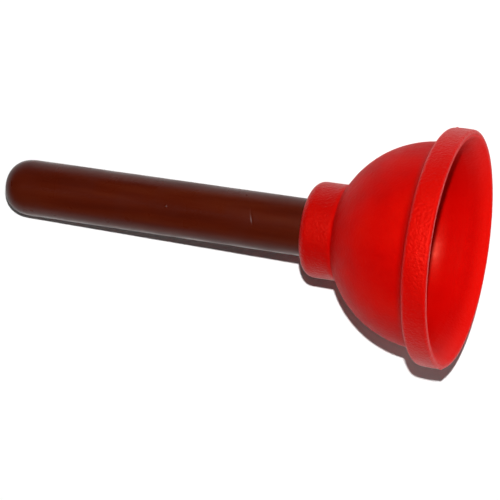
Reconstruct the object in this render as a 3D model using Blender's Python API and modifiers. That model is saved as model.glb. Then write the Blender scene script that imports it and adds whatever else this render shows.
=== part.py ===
"""Toilet plunger with a short handle.

A red rubber cup carries a rigid threaded insert in its neck.  A hollow plastic
handle with a threaded plug in its lower end screws into the insert and seals on
a flat washer.  The plunger stands on its rim: the origin is the centre of the
rim's flat end face and +Z runs up the handle.  Units are metres.

Every round piece is a half profile of (radius, height) points turned about Z.
"""
import math

import bmesh
import bpy
from mathutils import Matrix

MM = 0.001
GAP = 0.3 * MM                   # clearance kept between neighbouring pieces

# ---- handle size and cup ---------------------------------------------------
HANDLE_R = 14.25 * MM

RIM_R = 58.3 * MM                # outer radius of the rim flange where it is fullest
RIM_Z = 5.8 * MM                 # height of that fullest point
RIM_TAPER_W = 0.25 * MM          # the flange narrows by this much ...
RIM_TAPER_H = 2.6 * MM           # ... at this height above the fullest point
FLANGE_TOP_R = 57.6 * MM         # outer radius at the flange's top edge
FLANGE_H = 12.0 * MM
FLANGE_EDGE = 1.4 * MM           # rounding of the flange's top edge
LIP_R = 56.3 * MM                # outer radius of the flat edge the cup stands on
LIP_FLAT = 1.4 * MM              # width of that edge
LIP_ROUND = 2.6 * MM             # height of the rounding from that edge to the flange
LIP_SETBACK = 0.15 * MM          # the rounding's top lies this far inside the rim
STEP_FILLET = 5.0 * MM           # fillet where the flange meets the bell
FLARE_R = 34.0 * MM              # radius of the curve that flares the mouth to the lip
FLARE_CENTRE = (79.4 * MM, 24.2 * MM)
FLARE_ANGLES = (215.5, 191.0)    # degrees, from the lip up to the roof
BELL_R = 50.6 * MM               # outer spherical radius of the bell
BELL_CENTRE_Z = 13.5 * MM
BELL_WALL = 4.4 * MM
ROOF_START = 8.5                 # degrees above the bell's centre
NECK_R = 23.8 * MM
NECK_TOP = 75.8 * MM
NECK_EDGE_R = 4.6 * MM           # rounding of the collar's top edge, radially
NECK_EDGE_Z = 4.8 * MM           # and along the axis
NECK_FILLET = 1.2 * MM           # crease between collar and bell
NECK_BEVEL_W = 0.6 * MM          # bevel at the top of the counterbore
NECK_BEVEL_H = 0.8 * MM
BOSS_R = 18.0 * MM               # boss under the socket, inside the bell
BOSS_Z = 47.0 * MM
ROOF_END_R = BOSS_R + 5.0 * MM
# boss edge: (radial, axial) offsets from (BOSS_R, BOSS_Z), from the roof inwards
BOSS_EDGE = ((2.6 * MM, 1.9 * MM), (0.8 * MM, 0.6 * MM), (-1.2 * MM, 0.0))

# ---- socket and insert -----------------------------------------------------
COUNTERBORE_R = HANDLE_R + 0.35 * MM
COUNTERBORE_Z = 66.5 * MM        # floor of the counterbore the handle sits in
SOCKET_R = 14.3 * MM             # cavity for the insert's bush
SOCKET_FLOOR = 50.5 * MM
KEY_Z = 58.0 * MM                # ring of rubber that locks the bush in place
KEY_H = 3.0 * MM
KEY_DEPTH = 1.4 * MM
HEX_LOW = 63.9 * MM
HEX_TOP = COUNTERBORE_Z - GAP
HEX_MID = 0.5 * (HEX_LOW + HEX_TOP)
HEX_R = 18.2 * MM                # across-corners radius of the insert's flange
INSERT_LOW = SOCKET_FLOOR + GAP
INSERT_BEVEL = 0.8 * MM

# ---- washer ----------------------------------------------------------------
WASHER_Z = COUNTERBORE_Z
WASHER_T = 1.2 * MM
WASHER_R_IN = 10.2 * MM
WASHER_R_OUT = 13.8 * MM
WASHER_BEVEL = 0.25 * MM

# ---- thread ----------------------------------------------------------------
PITCH = 25.4 * MM / 5            # coarse thread, five turns to the inch
THREAD_MAJOR = 9.4 * MM          # male crest radius
THREAD_MINOR = 7.6 * MM          # male root radius
THREAD_CLEAR = 0.42 * MM         # radial clearance of the female thread
THREAD_FADE = 2.2 * MM           # run-out length at a thread's ends
THREAD_POWER = 0.85              # below 1 fattens the cosine ridge
THREAD_INSET = 0.1 * MM          # plain wall left at a thread's end
THREAD_ROW = 0.68 * MM           # spacing of vertex rows on a threaded wall
THREAD_CATCH = 0.02 * MM         # how near the wall radius a vertex must lie
CORE_OVERRUN = 1.0 * MM          # the female thread's cutter passes the insert by this

# ---- handle shell and plug -------------------------------------------------
SHOULDER_Z = WASHER_Z + WASHER_T + GAP   # underside of the plug's shoulder
SHOULDER_TOP = SHOULDER_Z + 1.8 * MM
SHOULDER_BEVEL = 0.5 * MM

HANDLE_TOP = 241.0 * MM
HANDLE_END_L = 14.5 * MM         # axial length of the rounded end
HOLLOW_END_L = HANDLE_END_L - 1.5 * MM
HANDLE_END_POWER = 2.4           # superellipse exponent of the rounded end
HANDLE_WALL = 2.7 * MM
SHELL_BOTTOM = SHOULDER_TOP + GAP
SHELL_BEVEL_OUT = 0.4 * MM
SHELL_BEVEL_IN = 0.5 * MM

PLUG_TOP = 94.0 * MM
PLUG_R = HANDLE_R - HANDLE_WALL - GAP
PLUG_HOLLOW_R = PLUG_R - 2.4 * MM
PLUG_HOLLOW_DEPTH = 14.0 * MM
PLUG_BEVEL_W = 1.2 * MM
PLUG_BEVEL_H = 2.0 * MM
BORE_ROW_Z = PLUG_TOP + 4.0 * MM         # vertex ring in the shell's bore above the plug
GROOVE_HEIGHTS = (88.0 * MM, 80.0 * MM)  # two shallow grooves that take the adhesive
GROOVE_HALF = 1.2 * MM           # half width at the surface
GROOVE_FLOOR_HALF = 0.6 * MM
GROOVE_DEPTH = 0.7 * MM
SPIGOT_TIP = 51.6 * MM
TIP_BEVEL = 1.0 * MM
SPIGOT_ROOT_BEVEL = 0.6 * MM     # where the spigot meets the shoulder
SPIGOT_PLAIN = 1.6 * MM          # unthreaded length below the shoulder
BLIND_R = 4.0 * MM               # blind core, open at the spigot's tip
BLIND_BEVEL = 0.4 * MM
BLIND_END_R = 3.8 * MM
BLIND_END_Z = SHOULDER_Z - 1.0 * MM
BLIND_PEAK_Z = SHOULDER_Z - 0.4 * MM

ROUND_STEPS = 44
THREAD_STEPS = 32
WASHER_STEPS = 32
SHARP_ANGLE = 32.0               # degrees; steeper edges are shaded sharp


# ---- scene helpers ---------------------------------------------------------
def clear_scene():
    for ob in list(bpy.data.objects):
        bpy.data.objects.remove(ob, do_unlink=True)


def collection(name):
    col = bpy.data.collections.new(name)
    bpy.context.scene.collection.children.link(col)
    return col


def material(name, rgb, roughness, coat=0.0):
    mat = bpy.data.materials.new(name)
    mat.use_nodes = True
    shader = mat.node_tree.nodes["Principled BSDF"]
    shader.inputs["Base Color"].default_value = (*rgb, 1.0)
    shader.inputs["Roughness"].default_value = roughness
    shader.inputs["Coat Weight"].default_value = coat
    mat.diffuse_color = (*rgb, 1.0)
    return mat


def empty(name, col, parent=None):
    ob = bpy.data.objects.new(name, None)
    col.objects.link(ob)
    ob.parent = parent
    return ob


def mesh_object(name, bm, col, mat=None):
    """Object made from a bmesh, which is freed."""
    mesh = bpy.data.meshes.new(name)
    bm.to_mesh(mesh)
    bm.free()
    if mat:
        mesh.materials.append(mat)
    ob = bpy.data.objects.new(name, mesh)
    col.objects.link(ob)
    return ob


def turned(name, points, col, mat=None, steps=ROUND_STEPS):
    """Half profile in the XZ plane, swept about Z by a Screw modifier."""
    bm = bmesh.new()
    verts = [bm.verts.new((r, 0.0, z)) for r, z in points]
    for start, end in zip(verts, verts[1:]):
        bm.edges.new((start, end))
    ob = mesh_object(name, bm, col, mat)
    screw = ob.modifiers.new("turn", "SCREW")
    screw.axis = "Z"
    screw.angle = 2.0 * math.pi
    screw.steps = screw.render_steps = steps
    screw.use_merge_vertices = True
    screw.merge_threshold = 0.02 * MM
    screw.use_smooth_shade = True
    return ob


def hex_prism(name, radius, height, col):
    """Helper: six-sided prism centred on the insert's flange."""
    bm = bmesh.new()
    bmesh.ops.create_cone(bm, cap_ends=True, segments=6, radius1=radius, radius2=radius,
                          depth=height, matrix=Matrix.Translation((0, 0, HEX_MID)))
    return as_cutter(mesh_object(name, bm, col))


def apply_modifiers(ob):
    deps = bpy.context.evaluated_depsgraph_get()
    deps.update()
    mesh = bpy.data.meshes.new_from_object(ob.evaluated_get(deps), depsgraph=deps)
    old = ob.data
    ob.modifiers.clear()
    ob.data = mesh
    mesh.name = old.name
    if not mesh.materials:
        for mat in old.materials:
            mesh.materials.append(mat)
    bpy.data.meshes.remove(old)


def boolean(ob, tool, operation):
    mod = ob.modifiers.new(operation.lower() + "_" + tool.name, "BOOLEAN")
    mod.operation = operation
    mod.object = tool
    mod.solver = "EXACT"


def as_cutter(ob):
    ob.hide_render = True
    ob.display_type = "WIRE"
    return ob


def smooth(ob):
    ob.data.shade_smooth()
    ob.data.set_sharp_from_angle(angle=math.radians(SHARP_ANGLE))


# ---- profile helpers -------------------------------------------------------
def arc(centre, radii, start, end, steps):
    """Points on an ellipse in the profile plane, angles in degrees from +X."""
    points = []
    for i in range(steps + 1):
        angle = math.radians(start + (end - start) * i / steps)
        points.append((centre[0] + radii[0] * math.cos(angle),
                       centre[1] + radii[1] * math.sin(angle)))
    return points


def other_leg(radius, leg):
    """Second leg of the right triangle whose hypotenuse is `radius`."""
    return math.sqrt(radius * radius - leg * leg)


def tidy(points, least=0.05 * MM):
    """Drop points that all but coincide."""
    kept = [points[0]]
    for point in points[1:]:
        if math.dist(point, kept[-1]) >= least:
            kept.append(point)
    return kept


def handle_end(radius, top, length, steps):
    """Superellipse nose from the axis out to the full radius."""
    power = 2.0 / HANDLE_END_POWER
    points = []
    for i in range(steps + 1):
        angle = 0.5 * math.pi * i / steps
        points.append((radius * math.sin(angle) ** power,
                       top - length + length * math.cos(angle) ** power))
    return points


def threadable_wall(radius, z0, z1):
    """Straight wall with the rows of vertices a thread needs."""
    rows = round(abs(z1 - z0) / THREAD_ROW)
    return [(radius, z0 + (z1 - z0) * i / rows) for i in range(rows + 1)]


def key_ring(radius, gap):
    """Inward step of the locking ring, from bottom to top, widened by `gap`."""
    outer = KEY_H / 2 + gap
    inner = KEY_H / 4 + gap
    return [(radius, KEY_Z - outer), (radius - KEY_DEPTH, KEY_Z - inner),
            (radius - KEY_DEPTH, KEY_Z + inner), (radius, KEY_Z + outer)]


# ---- thread ----------------------------------------------------------------
def thread_height(theta, z):
    """Rounded ridge of a right-hand helix: 0 at the root, 1 at the crest."""
    phase = (z / PITCH - theta / (2.0 * math.pi)) % 1.0
    ridge = 0.5 + 0.5 * math.cos(2.0 * math.pi * phase)
    return ridge ** THREAD_POWER


def fade(z, low, high):
    """Smooth rise from 0 at both ends to 1 in the middle."""
    t = min((z - low) / THREAD_FADE, (high - z) / THREAD_FADE)
    t = min(max(t, 0.0), 1.0)
    return t * t * (3.0 - 2.0 * t)


def cut_thread(ob, low, high, wall_r, far_r, inwards=False):
    """Move a turned wall at radius `wall_r` onto a helix that reaches `far_r`.
    `inwards` is for a wall at the major radius, whose valleys are pulled in."""
    for vert in ob.data.vertices:
        x, y, z = vert.co
        r = math.hypot(x, y)
        if abs(r - wall_r) > THREAD_CATCH or z <= low or z >= high:
            continue
        height = thread_height(math.atan2(y, x), z)
        if inwards:
            height = 1.0 - height
        new_r = wall_r + (far_r - wall_r) * height * fade(z, low, high)
        vert.co.x *= new_r / r
        vert.co.y *= new_r / r
    ob.data.update()


# ---- pieces ----------------------------------------------------------------
def cup_profile():
    # socket with the locking ring, then the counterbore
    points = [(0.0, SOCKET_FLOOR), (SOCKET_R, SOCKET_FLOOR)]
    points += key_ring(SOCKET_R, gap=0.0)
    points += [(SOCKET_R, COUNTERBORE_Z), (COUNTERBORE_R, COUNTERBORE_Z),
               (COUNTERBORE_R, NECK_TOP - NECK_BEVEL_H),
               (COUNTERBORE_R + NECK_BEVEL_W, NECK_TOP)]
    # collar
    edge_z = NECK_TOP - NECK_EDGE_Z
    crease_z = BELL_CENTRE_Z + other_leg(BELL_R, NECK_R)
    points += arc((NECK_R - NECK_EDGE_R, edge_z), (NECK_EDGE_R, NECK_EDGE_Z), 90, 0, steps=5)
    points += [(NECK_R, 0.5 * (edge_z + crease_z)),
               (NECK_R, crease_z + NECK_FILLET),
               (NECK_R + 0.35 * NECK_FILLET, crease_z + 0.2 * NECK_FILLET)]
    # bell
    bell_end_z = FLANGE_H + STEP_FILLET
    bell_start = math.degrees(math.acos((NECK_R + NECK_FILLET) / BELL_R))
    bell_end = math.degrees(math.asin((bell_end_z - BELL_CENTRE_Z) / BELL_R))
    points += arc((0.0, BELL_CENTRE_Z), (BELL_R, BELL_R), bell_start, bell_end, steps=11)
    # step out to the flange
    bell_end_r = other_leg(BELL_R, bell_end_z - BELL_CENTRE_Z)
    points += arc((bell_end_r + STEP_FILLET, bell_end_z), (STEP_FILLET, STEP_FILLET),
                  180, 270, steps=5)
    points += arc((FLANGE_TOP_R - FLANGE_EDGE, FLANGE_H - FLANGE_EDGE),
                  (FLANGE_EDGE, FLANGE_EDGE), 90, 10, steps=4)
    points += [(RIM_R - RIM_TAPER_W, RIM_Z + RIM_TAPER_H), (RIM_R, RIM_Z)]
    # rounding, and the flat edge
    points += arc((LIP_R, LIP_ROUND), (RIM_R - LIP_R - LIP_SETBACK, LIP_ROUND), 0, -90, steps=4)
    points += [(LIP_R - LIP_FLAT, 0.0)]
    # hollow: flared mouth, spherical roof and the boss
    roof_r = BELL_R - BELL_WALL
    roof_end = math.degrees(math.acos(ROOF_END_R / roof_r))
    points += arc(FLARE_CENTRE, (FLARE_R, FLARE_R), *FLARE_ANGLES, steps=4)
    points += arc((0.0, BELL_CENTRE_Z), (roof_r, roof_r), ROOF_START, roof_end, steps=9)
    points += [(BOSS_R + dr, BOSS_Z + dz) for dr, dz in BOSS_EDGE]
    points += [(0.0, BOSS_Z)]
    return tidy(points)


def make_cup(col, cutters, mat):
    cup = turned("cup", cup_profile(), col, mat)
    apply_modifiers(cup)
    # six-sided recess that stops the insert from turning in the rubber
    recess = hex_prism("hex_recess", HEX_R + GAP / math.cos(math.pi / 6),
                       HEX_TOP - HEX_LOW + 2 * GAP, cutters)
    boolean(cup, recess, "DIFFERENCE")
    smooth(cup)
    return cup


def make_female_thread(cutters):
    """Helical core that leaves the female thread."""
    major = THREAD_MAJOR + THREAD_CLEAR
    minor = THREAD_MINOR + THREAD_CLEAR
    bottom = INSERT_LOW - CORE_OVERRUN
    top = HEX_TOP + CORE_OVERRUN
    points = [(0.0, top)] + threadable_wall(major, top, bottom) + [(0.0, bottom)]
    core = turned("female_thread", points, cutters, steps=THREAD_STEPS)
    apply_modifiers(core)
    cut_thread(core, INSERT_LOW + THREAD_INSET, HEX_TOP - THREAD_INSET, major, minor,
               inwards=True)
    return as_cutter(core)


def make_insert(col, cutters, mat):
    """Bush with a hexagonal flange and a female thread right through."""
    radius = SOCKET_R - GAP
    points = [(0.0, HEX_MID), (radius, HEX_MID)]
    points += key_ring(radius, gap=GAP)[::-1]
    points += [(radius, INSERT_LOW + INSERT_BEVEL), (radius - INSERT_BEVEL, INSERT_LOW),
               (0.0, INSERT_LOW)]
    insert = turned("thread_insert", points, col, mat, THREAD_STEPS)
    apply_modifiers(insert)
    flange = hex_prism("insert_flange", HEX_R, HEX_TOP - HEX_LOW, cutters)
    boolean(insert, flange, "UNION")
    boolean(insert, make_female_thread(cutters), "DIFFERENCE")
    smooth(insert)
    return insert


def make_washer(col, mat):
    top = WASHER_Z + WASHER_T
    bevel = WASHER_BEVEL
    points = [(WASHER_R_IN, top), (WASHER_R_OUT - bevel, top), (WASHER_R_OUT, top - bevel),
              (WASHER_R_OUT, WASHER_Z + bevel), (WASHER_R_OUT - bevel, WASHER_Z),
              (WASHER_R_IN, WASHER_Z), (WASHER_R_IN, top)]
    return turned("sealing_washer", points, col, mat, WASHER_STEPS)


def make_shell(col, mat):
    """Hollow handle: down the outside, then up the bore."""
    bore_r = HANDLE_R - HANDLE_WALL
    points = handle_end(HANDLE_R, HANDLE_TOP, HANDLE_END_L, steps=8)
    points += [(HANDLE_R, 0.5 * (HANDLE_TOP + SHELL_BOTTOM)),
               (HANDLE_R, SHELL_BOTTOM + SHELL_BEVEL_OUT),
               (HANDLE_R - SHELL_BEVEL_OUT, SHELL_BOTTOM),
               (bore_r + SHELL_BEVEL_IN, SHELL_BOTTOM),
               (bore_r, SHELL_BOTTOM + SHELL_BEVEL_IN),
               (bore_r, BORE_ROW_Z)]
    points += handle_end(bore_r, HANDLE_TOP - HANDLE_WALL, HOLLOW_END_L, steps=6)[::-1]
    return turned("handle_shell", tidy(points), col, mat)


def make_plug(col, mat):
    """Grooved body in the handle, a shoulder and the threaded spigot."""
    hollow_floor = PLUG_TOP - PLUG_HOLLOW_DEPTH
    points = [(0.0, hollow_floor), (PLUG_HOLLOW_R, hollow_floor), (PLUG_HOLLOW_R, PLUG_TOP),
              (PLUG_R - PLUG_BEVEL_W, PLUG_TOP), (PLUG_R, PLUG_TOP - PLUG_BEVEL_H)]
    for z in GROOVE_HEIGHTS:
        points += [(PLUG_R, z + GROOVE_HALF), (PLUG_R - GROOVE_DEPTH, z + GROOVE_FLOOR_HALF),
                   (PLUG_R - GROOVE_DEPTH, z - GROOVE_FLOOR_HALF), (PLUG_R, z - GROOVE_HALF)]
    points += [(PLUG_R, SHOULDER_TOP), (HANDLE_R - SHOULDER_BEVEL, SHOULDER_TOP),
               (HANDLE_R, SHOULDER_TOP - SHOULDER_BEVEL),
               (HANDLE_R, SHOULDER_Z + SHOULDER_BEVEL),
               (HANDLE_R - SHOULDER_BEVEL, SHOULDER_Z),
               (THREAD_MINOR + SPIGOT_ROOT_BEVEL, SHOULDER_Z)]
    wall_low = SPIGOT_TIP + TIP_BEVEL
    points += threadable_wall(THREAD_MINOR, SHOULDER_Z - SPIGOT_ROOT_BEVEL, wall_low)
    # tip with a blind core
    points += [(THREAD_MINOR - TIP_BEVEL, SPIGOT_TIP), (BLIND_R + BLIND_BEVEL, SPIGOT_TIP),
               (BLIND_R, SPIGOT_TIP + BLIND_BEVEL), (BLIND_END_R, BLIND_END_Z),
               (0.0, BLIND_PEAK_Z)]
    plug = turned("threaded_plug", points, col, mat, THREAD_STEPS)
    apply_modifiers(plug)
    cut_thread(plug, wall_low + THREAD_INSET, SHOULDER_Z - SPIGOT_PLAIN,
               THREAD_MINOR, THREAD_MAJOR)
    smooth(plug)
    return plug


def main():
    clear_scene()
    parts = collection("toilet_plunger")
    cutters = collection("cutters")

    red = material("red_rubber", rgb=(0.60, 0.012, 0.006), roughness=0.34, coat=0.15)
    brown = material("brown_plastic", rgb=(0.075, 0.013, 0.005), roughness=0.26, coat=0.25)
    dark_brown = material("plug_plastic", rgb=(0.055, 0.011, 0.005), roughness=0.38)
    ivory = material("insert_plastic", rgb=(0.62, 0.58, 0.50), roughness=0.42)
    black = material("washer_rubber", rgb=(0.018, 0.018, 0.019), roughness=0.60)

    base = empty("cup_origin", parts)
    neck = empty("neck_carriage", parts, base)
    seal = empty("washer_carriage", parts, neck)
    axis = empty("handle_axis", parts, seal)

    make_cup(parts, cutters, red).parent = base
    make_insert(parts, cutters, ivory).parent = neck
    make_washer(parts, black).parent = seal
    make_shell(parts, brown).parent = axis
    make_plug(parts, dark_brown).parent = axis


main()
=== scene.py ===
import math

import bpy
import numpy as np
from mathutils import Matrix, Vector, noise


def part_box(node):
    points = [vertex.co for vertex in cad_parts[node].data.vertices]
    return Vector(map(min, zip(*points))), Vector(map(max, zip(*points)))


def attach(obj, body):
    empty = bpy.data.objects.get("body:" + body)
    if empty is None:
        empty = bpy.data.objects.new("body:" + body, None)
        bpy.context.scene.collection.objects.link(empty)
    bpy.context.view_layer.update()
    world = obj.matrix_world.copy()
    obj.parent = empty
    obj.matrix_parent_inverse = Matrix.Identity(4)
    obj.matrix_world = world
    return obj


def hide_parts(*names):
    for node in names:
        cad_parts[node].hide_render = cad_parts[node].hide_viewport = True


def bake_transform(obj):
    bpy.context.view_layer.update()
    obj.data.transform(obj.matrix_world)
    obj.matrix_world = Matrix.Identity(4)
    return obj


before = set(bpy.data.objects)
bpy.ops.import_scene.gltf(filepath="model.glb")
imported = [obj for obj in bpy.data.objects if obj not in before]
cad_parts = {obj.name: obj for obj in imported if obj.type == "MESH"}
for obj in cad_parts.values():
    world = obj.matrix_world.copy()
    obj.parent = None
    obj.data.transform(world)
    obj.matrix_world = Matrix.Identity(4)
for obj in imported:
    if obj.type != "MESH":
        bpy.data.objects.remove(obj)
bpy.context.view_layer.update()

MM = 0.001
TAU = 2.0 * math.pi


# =============================================================================
# Sizes, taken from the frame
# =============================================================================
cup_lo, cup_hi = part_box("cup")
ins_lo, ins_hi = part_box("thread_insert")
was_lo, was_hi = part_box("sealing_washer")
han_lo, han_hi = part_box("handle_shell")
plug_lo, plug_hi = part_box("threaded_plug")

RIM_R = cup_hi.x
NECK_TOP = cup_hi.z
HANDLE_R = han_hi.x
HANDLE_TOP = han_hi.z
SHELL_BOTTOM = han_lo.z
SPIGOT_TIP = plug_lo.z
PLUG_TOP = plug_hi.z
HEX_R = ins_hi.y                      # across the corners of the insert's flange
HEX_TOP = ins_hi.z
HEX_LOW = HEX_TOP - 2.3 * MM
SOCKET_FLOOR = ins_lo.z - 0.3 * MM
WASHER_Z0, WASHER_Z1 = was_lo.z, was_hi.z
WASHER_RO = was_hi.x
WASHER_RI = WASHER_RO - 3.6 * MM
SHOULDER_Z = WASHER_Z1 + 0.3 * MM
SHOULDER_T = 1.8 * MM

BELL_R, BELL_CZ, BELL_WALL = RIM_R - 7.7 * MM, 13.5 * MM, 4.4 * MM
LIP_R = RIM_R - 2.0 * MM
FLANGE_H = 12.5 * MM
NECK_R = 23.8 * MM
SOCKET_R = HANDLE_R + 0.05 * MM
COUNTER_R = HANDLE_R + 0.35 * MM
COUNTER_Z = WASHER_Z0
KEY_Z, KEY_H, KEY_D = 58.0 * MM, 3.0 * MM, 1.4 * MM
BOSS_R, BOSS_Z = 18.0 * MM, 47.0 * MM
PITCH = 5.08 * MM
THREAD_MAJOR, THREAD_MINOR, THREAD_CLEAR = 9.4 * MM, 7.6 * MM, 0.42 * MM
HANDLE_END, HANDLE_WALL = 14.5 * MM, 2.7 * MM
PLUG_R = HANDLE_R - HANDLE_WALL - 0.3 * MM


# =============================================================================
# Mesh building
# =============================================================================
def arc(cr, cz, ra, rz, a0, a1, n):
    return [(cr + ra * math.cos(math.radians(a0 + (a1 - a0) * i / n)),
             cz + rz * math.sin(math.radians(a0 + (a1 - a0) * i / n))) for i in range(n + 1)]


def rounded(corners, closed=False, step=0.25 * MM):
    """Polyline whose corners (r, z, radius) are replaced by tangent arcs."""
    n = len(corners)
    out = []
    for i, (r, z, rad) in enumerate(corners):
        if (not closed and i in (0, n - 1)) or rad <= 0:
            out.append((r, z))
            continue
        p = Vector((r, z))
        a = Vector(corners[i - 1][:2]) - p
        b = Vector(corners[(i + 1) % n][:2]) - p
        la, lb = a.length, b.length
        a.normalize()
        b.normalize()
        half = 0.5 * math.acos(max(-1.0, min(1.0, a.dot(b))))
        if half > math.radians(89.6):
            out.append((r, z))
            continue
        fa = 0.49 if closed or corners[i - 1][2] > 0 else 0.98
        fb = 0.49 if closed or corners[(i + 1) % n][2] > 0 else 0.98
        t = min(rad / math.tan(half), fa * la, fb * lb)
        rad = t * math.tan(half)
        centre = p + (a + b).normalized() * (rad / math.sin(half))
        s, e = p + a * t - centre, p + b * t - centre
        turn = math.atan2(s.x * e.y - s.y * e.x, s.dot(e))
        k = max(3, int(math.ceil(abs(turn) * rad / step)))
        k = min(k, 24)
        base = math.atan2(s.y, s.x)
        for j in range(k + 1):
            q = base + turn * j / k
            out.append((centre.x + rad * math.cos(q), centre.y + rad * math.sin(q)))
    return out


def dense(points, longest, closed=False):
    """Split the profile's long segments so that none is longer than `longest`."""
    pts = list(points) + ([points[0]] if closed else [])
    out = [pts[0]]
    for a, b in zip(pts, pts[1:]):
        length = math.hypot(b[0] - a[0], b[1] - a[1])
        if length < 1e-7:
            continue
        k = max(1, int(math.ceil(length / (longest(a, b) if callable(longest) else longest))))
        for j in range(1, k + 1):
            out.append((a[0] + (b[0] - a[0]) * j / k, a[1] + (b[1] - a[1]) * j / k))
    return out[:-1] if closed else out


def angles(base, extra=()):
    """Even angles plus closer ones round each (angle, half width, spacing)."""
    vals = [TAU * i / base for i in range(base)]
    for centre, half, gap in extra:
        vals = [v for v in vals
                if abs((v - centre + math.pi) % TAU - math.pi) > half + 0.35 * TAU / base]
        k = int(math.ceil(2 * half / gap))
        vals += [(centre - half + 2 * half * i / k) % TAU for i in range(k + 1)]
    return np.array(sorted(vals))


def lathe(name, profile, theta, closed=False, shape=None):
    """Turned mesh.  The profile runs down the outer side and back up the inner one; a
    first or last point on the axis becomes a pole.  shape(R, Z, T, N) moves the grid."""
    prof = np.array(profile, float)
    n, m = len(prof), len(theta)
    if closed:
        tang = np.roll(prof, -1, 0) - np.roll(prof, 1, 0)
    else:
        tang = np.gradient(prof, axis=0)
    tang /= np.maximum(np.linalg.norm(tang, axis=1, keepdims=True), 1e-12)
    norm = np.stack([-tang[:, 1], tang[:, 0]], 1)
    R = np.repeat(prof[:, :1], m, 1)
    Z = np.repeat(prof[:, 1:], m, 1)
    T = np.repeat(theta[None, :], n, 0)
    N = np.repeat(norm[:, None, :], m, 1)
    if shape:
        R, Z = shape(R, Z, T, N)
    co = np.stack([R * np.cos(T), R * np.sin(T), Z], -1)
    pole_a = not closed and prof[0, 0] < 1e-9
    pole_b = not closed and prof[-1, 0] < 1e-9
    verts, index = [], np.zeros((n, m), int)
    for i in range(n):
        if (i == 0 and pole_a) or (i == n - 1 and pole_b):
            index[i, :] = len(verts)
            verts.append((0.0, 0.0, float(Z[i].mean())))
        else:
            index[i, :] = range(len(verts), len(verts) + m)
            verts.extend(map(tuple, co[i].tolist()))
    faces = []
    rows = n if closed else n - 1
    for i in range(rows):
        i2 = (i + 1) % n
        for j in range(m):
            j2 = (j + 1) % m
            a, b, c, d = index[i, j], index[i2, j], index[i2, j2], index[i, j2]
            if i == 0 and pole_a:
                faces.append((int(a), int(b), int(c)))
            elif i2 == n - 1 and pole_b:
                faces.append((int(a), int(b), int(d)))
            else:
                faces.append((int(a), int(b), int(c), int(d)))
    me = bpy.data.meshes.new(name)
    me.from_pydata(verts, [], faces)
    me.validate()
    me.update()
    me.shade_smooth()
    return me


def piece(name, me, mat, sharp=38.0):
    me.set_sharp_from_angle(angle=math.radians(sharp))
    rest = me.attributes.new("rest", "FLOAT_VECTOR", "POINT")
    co = np.empty(len(me.vertices) * 3, np.float32)
    me.vertices.foreach_get("co", co)
    rest.data.foreach_set("vector", co)
    ob = bpy.data.objects.new(name, me)
    bpy.context.scene.collection.objects.link(ob)
    me.materials.append(mat)
    return ob


def smooth_noise(R, Z, T, size, seed):
    """Perlin noise over a turned grid, about -1 to 1, features about `size` long."""
    x, y, z = R * np.cos(T) / size, R * np.sin(T) / size, Z / size
    flat = [noise.noise(Vector((a + seed, b - 2.1 * seed, c + 0.7 * seed)))
            for a, b, c in zip(x.ravel(), y.ravel(), z.ravel())]
    return np.array(flat).reshape(R.shape)


def wrap(a):
    return (a + math.pi) % TAU - math.pi


def bell_curve(x):
    return np.exp(-np.minimum(x * x, 50.0))


def hexagon(radius, T):
    """Radius of a hexagon, with two corners on the Y axis, in direction T."""
    apothem = radius * math.cos(math.pi / 6)
    return apothem / np.cos((T + math.pi / 6) % (math.pi / 3) - math.pi / 6)


def thread_height(T, Z):
    phase = (Z / PITCH - T / TAU) % 1.0
    return (0.5 + 0.5 * np.cos(TAU * phase)) ** 0.85


def runout(Z, low, high, length):
    t = np.clip(np.minimum((Z - low) / length, (high - Z) / length), 0, 1)
    return t * t * (3 - 2 * t)


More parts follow.
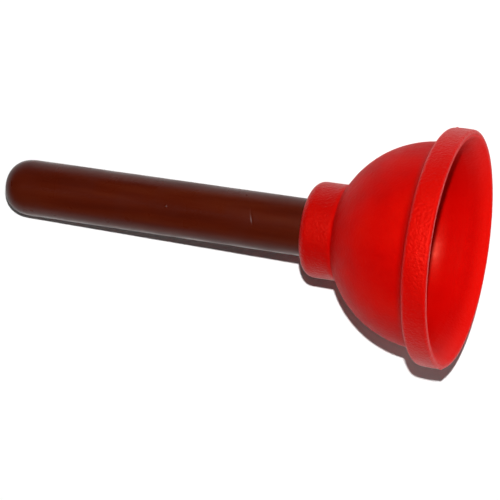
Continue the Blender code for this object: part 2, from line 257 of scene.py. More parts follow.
# =============================================================================
# Materials
# =============================================================================
class Shader:
    """Small helper that lays out one material's nodes."""

    def __init__(self, name):
        self.mat = bpy.data.materials.new(name)
        self.mat.use_nodes = True
        self.tree = self.mat.node_tree
        self.bsdf = self.tree.nodes["Principled BSDF"]
        attribute = self.node("ShaderNodeAttribute")
        attribute.attribute_name = "rest"
        self.rest = attribute.outputs["Vector"]

    def node(self, kind, **settings):
        nd = self.tree.nodes.new(kind)
        for key, value in settings.items():
            setattr(nd, key, value)
        return nd

    def put(self, socket, value):
        if isinstance(value, bpy.types.NodeSocket):
            self.tree.links.new(value, socket)
        elif value is not None:
            socket.default_value = value

    def stretch(self, sx, sy, sz):
        nd = self.node("ShaderNodeMapping")
        self.put(nd.inputs["Vector"], self.rest)
        nd.inputs["Scale"].default_value = (sx, sy, sz)
        return nd.outputs["Vector"]

    def noise(self, size, detail=3.0, rough=0.55, vector=None, distortion=0.0):
        nd = self.node("ShaderNodeTexNoise")
        self.put(nd.inputs["Vector"], vector or self.rest)
        nd.inputs["Scale"].default_value = 1.0 / size
        nd.inputs["Detail"].default_value = detail
        nd.inputs["Roughness"].default_value = rough
        nd.inputs["Distortion"].default_value = distortion
        return nd.outputs["Fac"]

    def cells(self, size, feature="F1", vector=None, randomness=1.0):
        nd = self.node("ShaderNodeTexVoronoi", feature=feature)
        self.put(nd.inputs["Vector"], vector or self.rest)
        nd.inputs["Scale"].default_value = 1.0 / size
        nd.inputs["Randomness"].default_value = randomness
        return nd.outputs["Distance"]

    def ramp(self, value, stops, interpolation="LINEAR"):
        nd = self.node("ShaderNodeValToRGB")
        nd.color_ramp.interpolation = interpolation
        el = nd.color_ramp.elements
        while len(el) > 1:
            el.remove(el[-1])
        el[0].position, el[0].color = stops[0][0], self._rgba(stops[0][1])
        for pos, col in stops[1:]:
            e = el.new(pos)
            e.color = self._rgba(col)
        self.put(nd.inputs["Fac"], value)
        return nd.outputs["Color"]

    @staticmethod
    def _rgba(c):
        return (c, c, c, 1.0) if isinstance(c, (int, float)) else (*c, 1.0)

    def math(self, op, a, b=None, c=None, clamp=False):
        nd = self.node("ShaderNodeMath", operation=op, use_clamp=clamp)
        for sock, v in zip(nd.inputs, (a, b, c)):
            self.put(sock, v)
        return nd.outputs[0]

    def remap(self, value, a, b, lo, hi):
        nd = self.node("ShaderNodeMapRange")
        nd.interpolation_type = "SMOOTHSTEP"
        self.put(nd.inputs["Value"], value)
        for key, v in (("From Min", a), ("From Max", b), ("To Min", lo), ("To Max", hi)):
            self.put(nd.inputs[key], v)
        return nd.outputs["Result"]

    def mix(self, fac, a, b, mode="MIX"):
        nd = self.node("ShaderNodeMix", data_type="RGBA", blend_type=mode)
        self.put(nd.inputs["Factor"], fac)
        self.put(nd.inputs[6], self._rgba(a) if isinstance(a, tuple) else a)
        self.put(nd.inputs[7], self._rgba(b) if isinstance(b, tuple) else b)
        return nd.outputs[2]

    def bump(self, height, distance, strength=1.0, base=None):
        nd = self.node("ShaderNodeBump")
        nd.inputs["Strength"].default_value = strength
        nd.inputs["Distance"].default_value = distance
        self.put(nd.inputs["Height"], height)
        if base is not None:
            self.put(nd.inputs["Normal"], base)
        return nd.outputs["Normal"]

    def axis(self, which):
        nd = self.node("ShaderNodeSeparateXYZ")
        self.put(nd.inputs[0], self.rest)
        return nd.outputs[which]

    def set(self, **values):
        names = {"color": "Base Color", "rough": "Roughness", "normal": "Normal",
                 "coat": "Coat Weight", "coat_rough": "Coat Roughness",
                 "specular": "Specular IOR Level", "sss": "Subsurface Weight",
                 "sss_scale": "Subsurface Scale", "ior": "IOR", "sheen": "Sheen Weight",
                 "sheen_rough": "Sheen Roughness", "diffuse_rough": "Diffuse Roughness",
                 "coat_normal": "Coat Normal", "tint": "Specular Tint"}
        for key, value in values.items():
            if isinstance(value, tuple):
                value = self._rgba(value)
            self.put(self.bsdf.inputs[names[key]], value)
        return self.mat


def red_rubber():
    s = Shader("red_moulded_rubber")
    # 1 inside the bell, 0 on the outside and on the rim
    off = s.node("ShaderNodeVectorMath", operation="DISTANCE")
    s.put(off.inputs[0], s.rest)
    off.inputs[1].default_value = (0.0, 0.0, BELL_CZ)
    inside = s.remap(off.outputs["Value"], BELL_R - 3.6 * MM, BELL_R - 1.8 * MM, 1.0, 0.0)
    outside = s.math("SUBTRACT", 1.0, inside)
    height = s.axis(2)
    flat = s.node("ShaderNodeVectorMath", operation="LENGTH")
    s.put(flat.inputs[0], s.stretch(1.0, 1.0, 0.0))
    # the flange's side, the dished end face, and the collar, which also carry painted light and shade in the
    # colour below
    low = s.remap(height, FLANGE_H - 0.6 * MM, FLANGE_H + 0.6 * MM, 1.0, 0.0)
    side = s.math("MULTIPLY", low, s.remap(flat.outputs["Value"], LIP_R - 0.5 * MM, LIP_R + 0.8 * MM, 0.0, 1.0))
    slant = s.math("ADD", flat.outputs["Value"], s.math("MULTIPLY", height, 0.62))
    face = s.math("MULTIPLY", s.remap(height, 4.0 * MM, 22.0 * MM, 1.0, 0.0),
                  s.remap(slant, LIP_R - 0.9 * MM, LIP_R + 0.3 * MM, 1.0, 0.0))
    # groove: the band of the bell just above the flange, where shade in the crease is painted below
    groove = s.math("MULTIPLY", s.remap(height, FLANGE_H - 0.5 * MM, FLANGE_H + 0.5 * MM, 0.0, 1.0),
                    s.remap(height, FLANGE_H + 1.2 * MM, FLANGE_H + 5.5 * MM, 1.0, 0.0))
    groove = s.math("MULTIPLY", groove, outside, clamp=True)
    collar = s.remap(height, 58.5 * MM, 61.0 * MM, 0.0, 1.0)
    broad = s.noise(0.022, 2.0)
    mottle = s.noise(0.0042, 4.0, 0.6)
    grain = s.noise(0.0011, 3.0, 0.6)
    deep, mid, light = (0.46, 0.0008, 0.0003), (0.53, 0.0010, 0.0004), (0.58, 0.0030, 0.0008)
    col = s.ramp(broad, [(0.30, deep), (0.50, mid), (0.72, light)])
    col = s.mix(s.remap(mottle, 0.30, 0.72, 0.0, 0.30), col, light)
    col = s.mix(s.remap(grain, 0.52, 0.76, 0.0, 0.22), col, (0.40, 0.0008, 0.0003))
    # painted shade: the inside of the bell is painted a darker red than the outside
    col = s.mix(s.math("MULTIPLY", inside, 0.65), col, (0.49, 0.0006, 0.0002))
    # painted light: the dished end face and the inside near the mouth are painted lighter, and the lip's end
    # face is painted brightest
    col = s.mix(s.math("MULTIPLY", face, 0.70), col, (0.53, 0.0006, 0.0002))
    mouth = s.math("MULTIPLY", face, s.remap(height, 1.0 * MM, 8.0 * MM, 0.85, 0.0))
    col = s.mix(mouth, col, (0.72, 0.0050, 0.0024))
    # painted highlight: the flange's whole side is painted a lighter red
    col = s.mix(s.math("MULTIPLY", side, 0.60), col, (0.62, 0.0020, 0.0008))
    # painted shade: the groove between the bell and the flange is painted darker
    col = s.mix(s.math("MULTIPLY", groove, 0.75), col, (0.40, 0.0006, 0.0003))
    # painted shade: the collar is painted a darker red
    col = s.mix(s.math("MULTIPLY", collar, 0.60), col, (0.42, 0.0010, 0.0004))
    # pale scuffs and a little chalky bloom, outside only
    scuff = s.math("MULTIPLY", s.remap(s.noise(0.0015, 5.0, 0.7, distortion=0.6), 0.60, 0.78, 0.0, 1.0),
                   s.remap(s.noise(0.012, 2.0), 0.50, 0.70, 0.0, 1.0))
    scuff = s.math("MULTIPLY", scuff, outside)
    col = s.mix(s.math("MULTIPLY", scuff, 0.22), col, (0.66, 0.035, 0.018))
    rough = s.math("SUBTRACT", s.remap(mottle, 0.25, 0.75, 0.50, 0.60), s.math("MULTIPLY", inside, 0.17))
    shallow = s.math("MULTIPLY", inside, s.remap(height, 17.5 * MM, 24.0 * MM, 1.0, 0.0))
    rough = s.math("ADD", rough, s.math("MULTIPLY", shallow, 0.20))
    rough = s.math("SUBTRACT", rough, s.math("MULTIPLY", s.math("ADD", side, collar), 0.13))
    rough = s.math("ADD", rough, s.math("MULTIPLY", scuff, 0.08), clamp=True)
    # skin: soft waves, moulded grain coarser on the flange and collar, and fine pits
    nrm = s.bump(s.noise(0.0065, 2.0, 0.5), 0.00018, 0.7)
    coarse = s.math("ADD", 1.0, s.math("MULTIPLY", s.math("ADD", side, collar), 0.9))
    skin = s.math("MULTIPLY", s.noise(0.0013, 3.0, 0.6), s.remap(inside, 0.0, 1.0, 1.0, 0.30))
    nrm = s.bump(s.math("MULTIPLY", skin, coarse), 0.00028, 1.0, nrm)
    pits = s.remap(s.cells(0.0021), 0.0, 0.22, 0.0, 1.0)
    nrm = s.bump(pits, 0.00005, 0.8, nrm)
    s.put(s.bsdf.inputs["Metallic"], s.math("ADD", s.remap(inside, 0.0, 1.0, 0.075, 0.0),
                                            s.math("MULTIPLY", side, 0.05)))
    s.bsdf.inputs["Subsurface Radius"].default_value = (1.0, 0.02, 0.01)
    return s.set(color=col, rough=rough, normal=nrm, tint=(1.0, 0.22, 0.14), sss=0.30, sss_scale=0.0035,
                 specular=s.math("ADD", s.math("MULTIPLY", s.math("ADD", side, collar), 0.17),
                                 s.math("ADD", s.remap(inside, 0.0, 1.0, 0.075, 0.27),
                                        s.math("MULTIPLY", shallow, -0.215)), clamp=True))


def brown_plastic(name="brown_moulded_plastic", gain=1.0, rough=(0.26, 0.40)):
    s = Shader(name)
    flow = s.noise(0.006, 2.0, 0.5, s.stretch(1.0, 1.0, 0.10))
    fine = s.noise(0.0014, 4.0, 0.65, s.stretch(1.0, 1.0, 0.25))
    blotch = s.noise(0.016, 2.0)
    a = tuple(gain * v for v in (0.056, 0.0045, 0.0008))
    b = tuple(gain * v for v in (0.070, 0.0065, 0.0012))
    c = tuple(gain * v for v in (0.084, 0.0110, 0.0030))
    col = s.ramp(flow, [(0.28, a), (0.52, b), (0.78, c)])
    col = s.mix(s.remap(blotch, 0.35, 0.70, 0.0, 0.30), col, a)
    col = s.mix(s.remap(fine, 0.45, 0.80, 0.0, 0.14), col, c)
    scratch = s.noise(0.0008, 2.0, 0.5, s.stretch(1.0, 1.0, 0.035))
    line = s.remap(scratch, 0.60, 0.80, 0.0, 1.0)
    ro = s.math("ADD", s.remap(blotch, 0.3, 0.7, rough[0], rough[1]),
                s.math("MULTIPLY", line, 0.06), clamp=True)
    nrm = s.bump(s.noise(0.0006, 2.0, 0.5, s.stretch(1.0, 1.0, 0.3)), 0.000004, 0.6)
    return s.set(color=col, rough=ro, normal=nrm, specular=0.12, coat=0.0,
                 coat_rough=0.16)


def ivory_plastic():
    s = Shader("ivory_moulded_plastic")
    broad = s.noise(0.009, 3.0)
    fine = s.noise(0.0012, 4.0, 0.6)
    col = s.ramp(broad, [(0.30, (0.56, 0.50, 0.39)), (0.55, (0.64, 0.59, 0.48)),
                         (0.78, (0.69, 0.65, 0.55))])
    col = s.mix(s.remap(fine, 0.58, 0.8, 0.0, 0.25), col, (0.50, 0.43, 0.32))
    nrm = s.bump(s.noise(0.0025, 2.0), 0.00005, 0.6)
    nrm = s.bump(fine, 0.000015, 0.8, nrm)
    return s.set(color=col, rough=s.remap(broad, 0.3, 0.7, 0.36, 0.52), normal=nrm,
                 specular=0.5, sss=0.15, sss_scale=0.002)


def washer_rubber():
    s = Shader("black_sheet_rubber")
    broad = s.noise(0.006, 3.0)
    grain = s.noise(0.0005, 3.0, 0.6)
    col = s.ramp(broad, [(0.3, (0.012, 0.012, 0.013)), (0.7, (0.026, 0.025, 0.025))])
    col = s.mix(s.remap(grain, 0.62, 0.8, 0.0, 0.5), col, (0.060, 0.057, 0.054))
    nrm = s.bump(grain, 0.00004, 0.9)
    return s.set(color=col, rough=s.remap(grain, 0.3, 0.7, 0.55, 0.75), normal=nrm,
                 specular=0.4)


RUBBER = red_rubber()
BROWN = brown_plastic()
PLUG = brown_plastic("dark_plug_plastic", 0.72, (0.34, 0.48))
IVORY = ivory_plastic()
BLACK = washer_rubber()


# =============================================================================
# Rubber cup
# =============================================================================
def sphere_z(radius, r):
    return BELL_CZ + math.sqrt(radius * radius - r * r)


def cup_profile():
    p = [(0.0, SOCKET_FLOOR)]
    # socket with the locking ring, step, counterbore and its chamfered mouth
    socket = rounded([
        (0.0, SOCKET_FLOOR, 0), (SOCKET_R, SOCKET_FLOOR, 0.15 * MM),
        (SOCKET_R, KEY_Z - KEY_H / 2, 0.3 * MM), (SOCKET_R - KEY_D, KEY_Z - KEY_H / 4, 0.3 * MM),
        (SOCKET_R - KEY_D, KEY_Z + KEY_H / 4, 0.3 * MM), (SOCKET_R, KEY_Z + KEY_H / 2, 0.3 * MM),
        (SOCKET_R, HEX_LOW - 0.3 * MM, 0), (HEX_R + 0.35 * MM, HEX_LOW - 0.3 * MM, 0),
        (HEX_R + 0.35 * MM, HEX_TOP + 0.3 * MM, 0), (COUNTER_R, HEX_TOP + 0.3 * MM, 0),
        (COUNTER_R, NECK_TOP - 0.9 * MM, 0.4 * MM), (COUNTER_R + 0.7 * MM, NECK_TOP, 0.35 * MM),
        (NECK_R - 4.6 * MM, NECK_TOP, 0)])
    p = socket[:-1]
    # collar: rounded top edge, straight side, crease
    p += arc(NECK_R - 4.6 * MM, NECK_TOP - 4.8 * MM, 4.6 * MM, 4.8 * MM, 90, 0, 20)
    f = 1.5 * MM                                    # crease radius
    cr = NECK_R + f
    cz = BELL_CZ + math.sqrt((BELL_R + f) ** 2 - cr ** 2)
    a_end = math.degrees(math.atan2(BELL_CZ - cz, 0.0 - cr)) % 360
    p += arc(cr, cz, f, f, 180, a_end, 10)
    # bell
    a0 = math.degrees(math.atan2(cz - BELL_CZ, cr))
    f2 = 5.0 * MM                                   # fillet down to the flange
    c2z = FLANGE_H + f2
    c2r = math.sqrt((BELL_R + f2) ** 2 - (c2z - BELL_CZ) ** 2)
    a1 = math.degrees(math.atan2(c2z - BELL_CZ, c2r))
    p += arc(0.0, BELL_CZ, BELL_R, BELL_R, a0, a1, 44)[1:]
    p += arc(c2r, c2z, f2, f2, 180 + a1, 270, 18)[1:]
    # flange: back edge, barrelled side, lip; then the dished end face and the wall
    ri = BELL_R - BELL_WALL
    roof_z = BELL_CZ - 0.9 * MM
    p += rounded([
        (c2r, FLANGE_H, 0), (RIM_R - 0.45 * MM, FLANGE_H, 3.0 * MM),
        (RIM_R + 0.08 * MM, 6.4 * MM, 34.0 * MM), (RIM_R - 0.15 * MM, 0.0, 1.9 * MM),
        (LIP_R - 1.2 * MM, 0.0, 1.1 * MM), (ri + 0.85 * MM, 11.0 * MM, 34.0 * MM),
        (math.sqrt(ri * ri - (19.8 * MM - roof_z) ** 2), 19.8 * MM, 0)], step=0.22 * MM)[1:-1]
    # hollow: roof and boss
    b0 = math.degrees(math.asin((20.0 * MM - roof_z) / ri))
    b1 = math.degrees(math.acos((BOSS_R + 4.2 * MM) / ri))
    p += arc(0.0, roof_z, ri, ri, b0, b1, 36)
    zr = sphere_z(ri, BOSS_R + 4.2 * MM) - 0.9 * MM
    p += rounded([(BOSS_R + 4.2 * MM, zr, 0), (BOSS_R + 1.4 * MM, zr - 0.2 * MM, 1.2 * MM),
                  (BOSS_R, BOSS_Z, 1.2 * MM), (0.0, BOSS_Z, 0)])[1:]
    out = [p[0]]
    for q in p[1:]:
        if math.hypot(q[0] - out[-1][0], q[1] - out[-1][1]) > 0.02 * MM:
            out.append(q)
    return dense(out, 1.15 * MM)


def cup_shape(R, Z, T, N):
    socket = (R < SOCKET_R + 0.02 * MM) & (Z > SOCKET_FLOOR - 0.01 * MM)
    recess = (R > SOCKET_R + 0.1 * MM) & (R < HEX_R + 0.4 * MM) & \
             (Z > HEX_LOW - 0.35 * MM) & (Z < HEX_TOP + 0.31 * MM)
    # the recess round the insert's flange is six-sided
    wall = recess & (R > HEX_R)
    hexa = hexagon(HEX_R + 0.35 * MM, T)
    R = np.where(wall, hexa, np.where(recess, SOCKET_R + (R - SOCKET_R) *
                 (hexa - SOCKET_R) / (HEX_R + 0.35 * MM - SOCKET_R), R))
    inside_neck = socket | recess | ((R < COUNTER_R + 0.8 * MM) & (Z > HEX_TOP))
    free = np.where(inside_neck, 0.0, 1.0)
    # slow unevenness of a soft moulding
    d = 0.17 * MM * smooth_noise(R, Z, T, 0.021, 3.1) + 0.05 * MM * smooth_noise(R, Z, T, 0.006, 7.7)
    lip = np.clip((Z - 0.2 * MM) / (1.6 * MM), 0, 1)
    d = d * free * (0.35 + 0.65 * lip)
    outer = (N[..., 0] > 0.2) & (Z < 60 * MM)
    # witness line of the mould along both sides, and torn flash nibs on the flange
    for centre in (0.0, math.pi):
        along = wrap(T - centre) * R
        d = d + 0.05 * MM * bell_curve(along / (0.5 * MM)) * free * (N[..., 0] > -0.1) * (R > 20 * MM)
    for centre, z0, amp, sa, sz in ((0.02, 10.9 * MM, 0.85 * MM, 1.2 * MM, 0.9 * MM),
                                    (math.pi - 0.01, 1.1 * MM, 0.50 * MM, 1.7 * MM, 0.8 * MM),
                                    (math.pi + 0.045, 0.7 * MM, 0.22 * MM, 0.9 * MM, 0.6 * MM)):
        along = wrap(T - centre) * R
        d = d + amp * bell_curve(along / sa) * bell_curve((Z - z0) / sz) * outer
    # thin flash line round the lip
    ring = bell_curve((Z - 0.35 * MM) / (0.30 * MM)) * outer * (R > LIP_R - 0.3 * MM)
    wob = 0.6 + 0.5 * smooth_noise(R, Z, T, 0.012, 12.4)
    d = d + 0.07 * MM * ring * wob
    R2, Z2 = R + N[..., 0] * d, Z + N[..., 1] * d
    flat = (Z < 0.02 * MM)
    return R2, np.where(flat, Z, np.maximum(Z2, 0.0))


seam = [(0.0, 2.6 * MM / RIM_R, 0.35 * MM / RIM_R), (math.pi, 4.0 * MM / RIM_R, 0.4 * MM / RIM_R)]
cup_me = lathe("rubber_cup", cup_profile(), angles(216, seam), shape=cup_shape)
cup = piece("rubber_cup", cup_me, RUBBER, 48.0)
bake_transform(cup)
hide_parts("cup")


# =============================================================================
# Threaded insert moulded into the neck
# =============================================================================
def insert_mesh():
    r = SOCKET_R - 0.3 * MM
    low = SOCKET_FLOOR + 0.3 * MM
    major, minor = THREAD_MAJOR + THREAD_CLEAR, THREAD_MINOR + THREAD_CLEAR
    outer = rounded([
        (major, HEX_TOP, 0.35 * MM), (HEX_R, HEX_TOP, 0.3 * MM), (HEX_R, HEX_LOW, 0.3 * MM),
        (r, HEX_LOW, 0.25 * MM), (r, KEY_Z + KEY_H / 2 + 0.3 * MM, 0.2 * MM),
        (r - KEY_D, KEY_Z + KEY_H / 4 + 0.3 * MM, 0.3 * MM),
        (r - KEY_D, KEY_Z - KEY_H / 4 - 0.3 * MM, 0.3 * MM),
        (r, KEY_Z - KEY_H / 2 - 0.3 * MM, 0.2 * MM), (r, low, 0.8 * MM), (major, low, 0.35 * MM)],
        closed=True)
    prof = dense(outer, lambda a, b: 0.26 * MM if max(a[0], b[0]) < major + 0.01 * MM else 0.8 * MM,
                 closed=True)

    def shape(R, Z, T, N):
        bore = R < major + 0.01 * MM
        t_low, t_high = low + 0.1 * MM, HEX_TOP - 0.1 * MM
        amount = runout(Z, t_low, t_high, 2.2 * MM)
        R2 = np.where(bore, R + (minor - major) * (1 - thread_height(T, Z)) * amount, R)
        flange = (R > r + 0.02 * MM) & (Z > HEX_LOW - 0.01 * MM)
        hexa = hexagon(HEX_R, T)
        R2 = np.where(flange, r + (R - r) * (hexa - r) / (HEX_R - r), R2)
        # six shallow pockets in the flange's top, as moulded to keep its wall even
        pocket = bell_curve((R2 - 12.4 * MM) / (1.2 * MM)) * \
            np.clip(0.5 + 0.9 * np.cos(6 * (T - math.pi / 6)), 0, 1)
        Z2 = np.where((Z > HEX_TOP - 0.02 * MM) & ~bore, Z - 0.55 * MM * pocket, Z)
        return R2, Z2

    return lathe("neck_insert", prof, angles(144), closed=True, shape=shape)


insert = piece("neck_insert", insert_mesh(), IVORY, 40.0)
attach(insert, "neck")
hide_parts("thread_insert")


# =============================================================================
# Sealing washer
# =============================================================================
def washer_mesh():
    c = 0.28 * MM
    prof = rounded([(WASHER_RI, WASHER_Z1, c), (WASHER_RO, WASHER_Z1, c),
                    (WASHER_RO, WASHER_Z0, c), (WASHER_RI, WASHER_Z0, c)], closed=True,
                   step=0.1 * MM)
    prof = dense(prof, 0.3 * MM, closed=True)

    def shape(R, Z, T, N):
        # moulded ribs that bite on the shoulder, worn a little unevenly
        rib = 0.07 * MM * (0.5 + 0.5 * np.cos(TAU * (R - WASHER_RI) / (0.9 * MM)))
        face = np.abs(N[..., 1]) > 0.9
        d = np.where(face, -rib, 0.0) - 0.02 * MM * (1 + smooth_noise(R, Z, T, 0.004, 5.2))
        return R + N[..., 0] * d, Z + N[..., 1] * d

    return lathe("flat_washer", prof, angles(120), closed=True, shape=shape)


washer = piece("flat_washer", washer_mesh(), BLACK, 50.0)
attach(washer, "washer")
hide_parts("sealing_washer")


# =============================================================================
# Handle shell
# =============================================================================
def nose(radius, top, length, n, power=2.0 / 2.4):
    pts = []
    for i in range(n + 1):
        a = 0.5 * math.pi * i / n
        pts.append((radius * math.sin(a) ** power, top - length + length * math.cos(a) ** power))
    pts[0] = (0.0, top)
    return pts


NICK_Z, NICK_T = 103.2 * MM, math.radians(-84.0)      # crescent nick
SPECK_Z, SPECK_T = 148.4 * MM, math.radians(-89.0)    # small raised speck


def shell_mesh():
    outer = nose(HANDLE_R, HANDLE_TOP, HANDLE_END, 56)
    low = rounded([(HANDLE_R, HANDLE_TOP - HANDLE_END, 0), (HANDLE_R, SHELL_BOTTOM, 0.45 * MM),
                   (HANDLE_R - HANDLE_WALL, SHELL_BOTTOM, 0.5 * MM),
                   (HANDLE_R - HANDLE_WALL, HANDLE_TOP - HANDLE_END, 0)], step=0.1 * MM)
    inner = nose(HANDLE_R - HANDLE_WALL, HANDLE_TOP - HANDLE_WALL, HANDLE_END - 1.5 * MM, 20)
    pts = outer + low[1:-1] + inner[::-1]

    def step(a, b):
        z = 0.5 * (a[1] + b[1])
        if a[0] < HANDLE_R - 1 * MM:
            return 4.0 * MM
        return 1.3 * MM

    rows = dense(pts, step)
    # closer rows on the outer wall where the marks sit
    extra = []
    for zc, half, gap in ((NICK_Z, 2.4 * MM, 0.13 * MM), (SPECK_Z, 1.2 * MM, 0.15 * MM)):
        k = int(2 * half / gap)
        extra.append((zc + half, zc - half, [(HANDLE_R, zc + half - 2 * half * i / k) for i in range(k + 1)]))
    out = []
    for r, z in rows:
        if r > HANDLE_R - 0.01 * MM and any(lo - 0.3 * MM < z < hi + 0.3 * MM for hi, lo, _ in extra):
            continue
        out.append((r, z))
    final = []
    for i, q in enumerate(out):
        final.append(q)
        if i + 1 < len(out):
            nxt = out[i + 1]
            for hi, lo, grid in extra:
                if q[0] > HANDLE_R - 0.01 * MM and nxt[0] > HANDLE_R - 0.01 * MM and q[1] >= hi and nxt[1] <= lo:
                    final.extend(grid)

    def shape(R, Z, T, N):
        outer_wall = (R > HANDLE_R - 0.02 * MM) | ((Z > HANDLE_TOP - HANDLE_END) & (N[..., 0] + N[..., 1] > 0.3))
        skin = np.where(outer_wall, 1.0, 0.0) * np.clip((Z - SHELL_BOTTOM - 0.6 * MM) / (4 * MM), 0, 1)
        d = 0.05 * MM * smooth_noise(R, Z, T, 0.018, 21.0) * skin
        # nick: a short crescent groove across the wall
        around = wrap(T - NICK_T)
        depth = 0.20 * MM * np.clip(1.25 - (around / math.radians(17)) ** 2, 0, 1)
        dz = Z - NICK_Z - 4.3 * MM * around
        d = d - depth * bell_curve(dz / (0.52 * MM)) * skin
        # raised speck
        d = d + 0.34 * MM * bell_curve((Z - SPECK_Z) / (0.38 * MM)) * \
            bell_curve(wrap(T - SPECK_T) * HANDLE_R / (0.55 * MM)) * skin
        # mould's parting line on both sides
        for centre in (math.radians(0), math.pi):
            d = d + 0.04 * MM * bell_curve(wrap(T - centre) * HANDLE_R / (0.35 * MM)) * skin
        return R + N[..., 0] * d, Z + N[..., 1] * d

    cols = angles(150, [((NICK_T - math.radians(2)) % TAU, math.radians(26), math.radians(1.1)),
                        (0.0, 1.4 * MM / HANDLE_R, 0.25 * MM / HANDLE_R),
                        (math.pi, 1.4 * MM / HANDLE_R, 0.25 * MM / HANDLE_R)])
    return lathe("handle_grip", final, cols, shape=shape)


grip = piece("handle_grip", shell_mesh(), BROWN, 40.0)
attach(grip, "handle")
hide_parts("handle_shell")


# =============================================================================
# Threaded plug in the handle's lower end
# =============================================================================
def plug_mesh():
    top, body = PLUG_TOP, PLUG_R
    st = SHOULDER_Z + SHOULDER_T
    z0 = SPIGOT_TIP + 1.0 * MM
    groove = []
    for gz in (88.0 * MM, 80.0 * MM):
        groove += [(body, gz + 1.2 * MM, 0.2 * MM), (body - 0.7 * MM, gz + 0.6 * MM, 0.3 * MM),
                   (body - 0.7 * MM, gz - 0.6 * MM, 0.3 * MM), (body, gz - 1.2 * MM, 0.2 * MM)]
    pts = rounded([
        (0.0, top - 14 * MM, 0), (body - 2.4 * MM, top - 14 * MM, 0.8 * MM),
        (body - 2.4 * MM, top, 0.4 * MM), (body - 1.2 * MM, top, 0.4 * MM),
        (body, top - 2.0 * MM, 0.6 * MM)] + groove + [
        (body, st, 0.15 * MM), (HANDLE_R, st, 0.5 * MM), (HANDLE_R, SHOULDER_Z, 0.5 * MM),
        (THREAD_MINOR + 0.5 * MM, SHOULDER_Z, 0.3 * MM), (THREAD_MINOR, SHOULDER_Z - 0.6 * MM, 0.5 * MM),
        (THREAD_MINOR, z0, 0.6 * MM), (THREAD_MINOR - 1.0 * MM, SPIGOT_TIP, 0.3 * MM),
        (4.4 * MM, SPIGOT_TIP, 0.25 * MM), (3.9 * MM, SPIGOT_TIP + 0.6 * MM, 0.4 * MM),
        (3.8 * MM, SHOULDER_Z - 1.0 * MM, 0.8 * MM), (0.0, SHOULDER_Z - 0.4 * MM, 0)])
    prof = dense(pts, lambda a, b: 0.24 * MM
                 if abs(a[0] - THREAD_MINOR) < 0.05 * MM and a[1] < SHOULDER_Z else 0.9 * MM)

    def shape(R, Z, T, N):
        on = (np.abs(R - THREAD_MINOR) < 0.05 * MM) & (Z < SHOULDER_Z - 0.3 * MM) & (Z > z0)
        amount = runout(Z, z0 + 0.1 * MM, SHOULDER_Z - 1.6 * MM, 2.2 * MM)
        R2 = np.where(on, R + (THREAD_MAJOR - THREAD_MINOR) * thread_height(T, Z) * amount, R)
        # fine ribs on the shoulder's edge for the fingers that fit the plug
        rim = (R > HANDLE_R - 0.2 * MM) & (np.abs(Z - (SHOULDER_Z + 0.5 * SHOULDER_T)) < 0.5 * SHOULDER_T)
        R2 = np.where(rim, R2 - 0.10 * MM * (0.5 + 0.5 * np.cos(36 * T)), R2)
        return R2, Z

    return lathe("screw_plug", prof, angles(180), shape=shape)


plug = piece("screw_plug", plug_mesh(), PLUG, 40.0)
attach(plug, "handle")
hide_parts("threaded_plug")


# =============================================================================
# Camera
# =============================================================================
TILT, ROLL, LEAN = 0.3341, 0.1490, 0.4815 * MM      # turn away, slope in the picture, metres a pixel
FOCAL = 2400.0                                      # in pixels of a 500-pixel frame
axis_up = Vector((-math.cos(TILT) * math.cos(ROLL), -math.cos(TILT) * math.sin(ROLL), math.sin(TILT)))
axis_front = Vector((-math.sin(TILT) * math.cos(ROLL), -math.sin(TILT) * math.sin(ROLL), -math.cos(TILT)))
col_y, col_z = -axis_front, axis_up
col_x = col_y.cross(col_z)
row_to_cam = Matrix((col_x, col_y, col_z)).transposed()
rim_in_cam = Vector((210.60, -0.06, FOCAL)) * LEAN
cam_pos = -(row_to_cam.transposed() @ rim_in_cam)
right = row_to_cam.transposed() @ Vector((1, 0, 0))
up = row_to_cam.transposed() @ Vector((0, -1, 0))
back = row_to_cam.transposed() @ Vector((0, 0, -1))

cam_data = bpy.data.cameras.new("camera")
cam_data.sensor_fit = "HORIZONTAL"
cam_data.sensor_width = 36.0
cam_data.lens = FOCAL * 36.0 / 500.0
cam_data.clip_start, cam_data.clip_end = 0.05, 200.0
cam = bpy.data.objects.new("camera", cam_data)
bpy.context.scene.collection.objects.link(cam)
cam.rotation_mode = "QUATERNION"
cam.location = cam_pos
cam.rotation_quaternion = Matrix((right, up, back)).transposed().to_quaternion()
bpy.context.scene.camera = cam


# =============================================================================
# Stage: the surface the plunger lies on in the main view, and the floor it stands on in the others
# =============================================================================
def drive(target, path, expression, index=-1):
    """Make a value depend on where the camera is."""
    fc = target.driver_add(path, index) if index >= 0 else target.driver_add(path)
    drv = fc.driver
    drv.type = "SCRIPTED"
    for name, kind in (("x", "LOC_X"), ("y", "LOC_Y"), ("z", "LOC_Z")):
        var = drv.variables.new()
        var.name = name
        var.type = "TRANSFORMS"
        var.targets[0].id = cam
        var.targets[0].transform_type = kind
        var.targets[0].transform_space = "WORLD_SPACE"
    drv.expression = expression


MAIN = "(abs(x-(%.6f))+abs(y-(%.6f))+abs(z-(%.6f)) < 0.003)" % tuple(cam_pos)


def either(in_main, elsewhere):
    return "%s if %s else %s" % (in_main, MAIN, elsewhere)


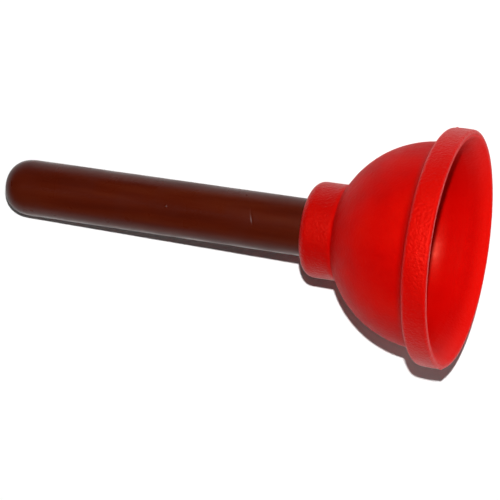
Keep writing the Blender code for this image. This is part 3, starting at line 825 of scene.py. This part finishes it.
def stage_material(name, base, fade=None):
    s = Shader(name)
    coord = s.node("ShaderNodeTexCoord").outputs["Object"]
    fleck = s.noise(0.0045, 4.0, 0.6, coord)
    cloud = s.noise(0.12, 2.0, 0.5, coord)
    lo = tuple(v * 0.975 for v in base)
    col = s.ramp(cloud, [(0.3, lo), (0.7, base)])
    col = s.mix(s.remap(fleck, 0.55, 0.75, 0.0, 0.10), col, tuple(v * 0.93 for v in base))
    nrm = s.bump(fleck, 0.00012, 0.5)
    mat = s.set(color=col, rough=0.85, normal=nrm, specular=0.15)
    if fade:
        # far from the object the floor melts into the white of the surroundings
        dist = s.node("ShaderNodeVectorMath", operation="LENGTH")
        s.put(dist.inputs[0], coord)
        glow = s.node("ShaderNodeEmission")
        glow.inputs["Color"].default_value = (1.0, 1.0, 1.0, 1.0)
        glow.inputs["Strength"].default_value = fade[2]
        mixer = s.node("ShaderNodeMixShader")
        s.put(mixer.inputs[0], s.remap(dist.outputs["Value"], fade[0], fade[1], 0.0, 1.0))
        s.put(mixer.inputs[1], s.bsdf.outputs[0])
        s.put(mixer.inputs[2], glow.outputs[0])
        out = s.tree.nodes["Material Output"]
        s.put(out.inputs["Surface"], mixer.outputs[0])
    return mat


def sheet(name, size, mat):
    me = bpy.data.meshes.new(name)
    h = size / 2
    me.from_pydata([(-h, -h, 0), (h, -h, 0), (h, h, 0), (-h, h, 0)], [], [(0, 1, 2, 3)])
    me.materials.append(mat)
    ob = bpy.data.objects.new(name, me)
    bpy.context.scene.collection.objects.link(ob)
    return ob


floor = sheet("floor", 60.0, stage_material("pale_floor", (0.88, 0.88, 0.875), (0.30, 1.3, 1.0)))
floor.location = (0, 0, -0.15 * MM)
drive(floor, "location", "-60 if (%s or z < 0) else -0.00015" % MAIN, 2)

# the table is tangent to the rim and to the handle's rounded end, on the side away from the camera
rim_y, rim_z = RIM_R + 0.05 * MM, 0.9 * MM
best = None
for r, z in nose(HANDLE_R, HANDLE_TOP, HANDLE_END, 60) + [(HANDLE_R, HANDLE_TOP - HANDLE_END - 5 * MM)]:
    slope = (rim_y - r) / (z - rim_z)
    if best is None or slope < best[0]:
        best = (slope, r, z)
lie = math.atan(best[0])
table = sheet("table", 12.0, stage_material("white_table", (0.96, 0.96, 0.957)))
n_table = Vector((0.0, -math.cos(lie), -math.sin(lie)))
x_table = Vector((1.0, 0.0, 0.0))
table.rotation_mode = "QUATERNION"
table.rotation_quaternion = Matrix((x_table, n_table.cross(x_table), n_table)).transposed().to_quaternion()
table.location = Vector((0.0, rim_y, rim_z))
drive(table, "location", either("%.6f" % rim_y, "60"), 1)


# =============================================================================
# Light
# =============================================================================
def area(name, size, energy, location, rotation, parent=None, shape="DISK", size_y=None):
    ld = bpy.data.lights.new(name, "AREA")
    ld.shape = shape
    ld.size = size
    if size_y:
        ld.size_y = size_y
    ob = bpy.data.objects.new(name, ld)
    bpy.context.scene.collection.objects.link(ob)
    ob.parent = parent
    ob.location = location
    ob.rotation_euler = rotation
    drive(ld, "energy", either("%.3f" % energy[0], "%.3f" % energy[1]))
    return ob


# a small lamp just above the lens, as in a snapshot
area("lens_lamp", 0.022, (16.5, 2.2), (0.004, 0.119, 0.0), (-0.103, 0.004, 0.0), cam)
# a dim strip whose reflection runs along the handle
area("strip", 0.05, (0.16, 0.0), (-0.02, -1.22, 0.66), (math.radians(90), 0.0, 0.0),
     shape="RECTANGLE", size_y=0.62)
# broad soft light from above for the upright views
area("overhead_soft", 1.3, (0.0, 16.0), (-0.35, -0.45, 1.45), (-0.30, -0.235, 0.0))
area("side_soft", 0.9, (0.0, 6.0), (-0.75, 0.35, 0.05), (0.0, -1.0, 0.0), cam)

world = bpy.data.worlds.new("surroundings")
bpy.context.scene.world = world
world.use_nodes = True
wt = world.node_tree
wt.nodes.clear()
w_out = wt.nodes.new("ShaderNodeOutputWorld")
w_mix = wt.nodes.new("ShaderNodeMixShader")
w_path = wt.nodes.new("ShaderNodeLightPath")
w_fill = wt.nodes.new("ShaderNodeBackground")
w_seen = wt.nodes.new("ShaderNodeBackground")
w_coord = wt.nodes.new("ShaderNodeTexCoord")
w_split = wt.nodes.new("ShaderNodeSeparateXYZ")
w_ramp = wt.nodes.new("ShaderNodeValToRGB")
w_ramp.color_ramp.elements[0].position = 0.30
w_ramp.color_ramp.elements[0].color = (0.80, 0.80, 0.82, 1.0)
w_ramp.color_ramp.elements[1].position = 0.80
w_ramp.color_ramp.elements[1].color = (1.0, 1.0, 1.0, 1.0)
w_half = wt.nodes.new("ShaderNodeMath")
w_half.operation = "MULTIPLY_ADD"
w_half.inputs[1].default_value = 0.5
w_half.inputs[2].default_value = 0.5
wt.links.new(w_coord.outputs["Generated"], w_split.inputs[0])
wt.links.new(w_split.outputs["Z"], w_half.inputs[0])
wt.links.new(w_half.outputs[0], w_ramp.inputs["Fac"])
wt.links.new(w_ramp.outputs["Color"], w_fill.inputs["Color"])
w_seen.inputs["Color"].default_value = (1.0, 1.0, 1.0, 1.0)
w_seen.inputs["Strength"].default_value = 1.0
wt.links.new(w_path.outputs["Is Camera Ray"], w_mix.inputs[0])
wt.links.new(w_fill.outputs[0], w_mix.inputs[1])
wt.links.new(w_seen.outputs[0], w_mix.inputs[2])
wt.links.new(w_mix.outputs[0], w_out.inputs["Surface"])
drive(w_fill.inputs["Strength"], "default_value", either("0.05", "0.55"))

view = bpy.context.scene.view_settings
view.view_transform = "Standard"
view.look = "None"
view.exposure = 0.0
view.gamma = 1.0
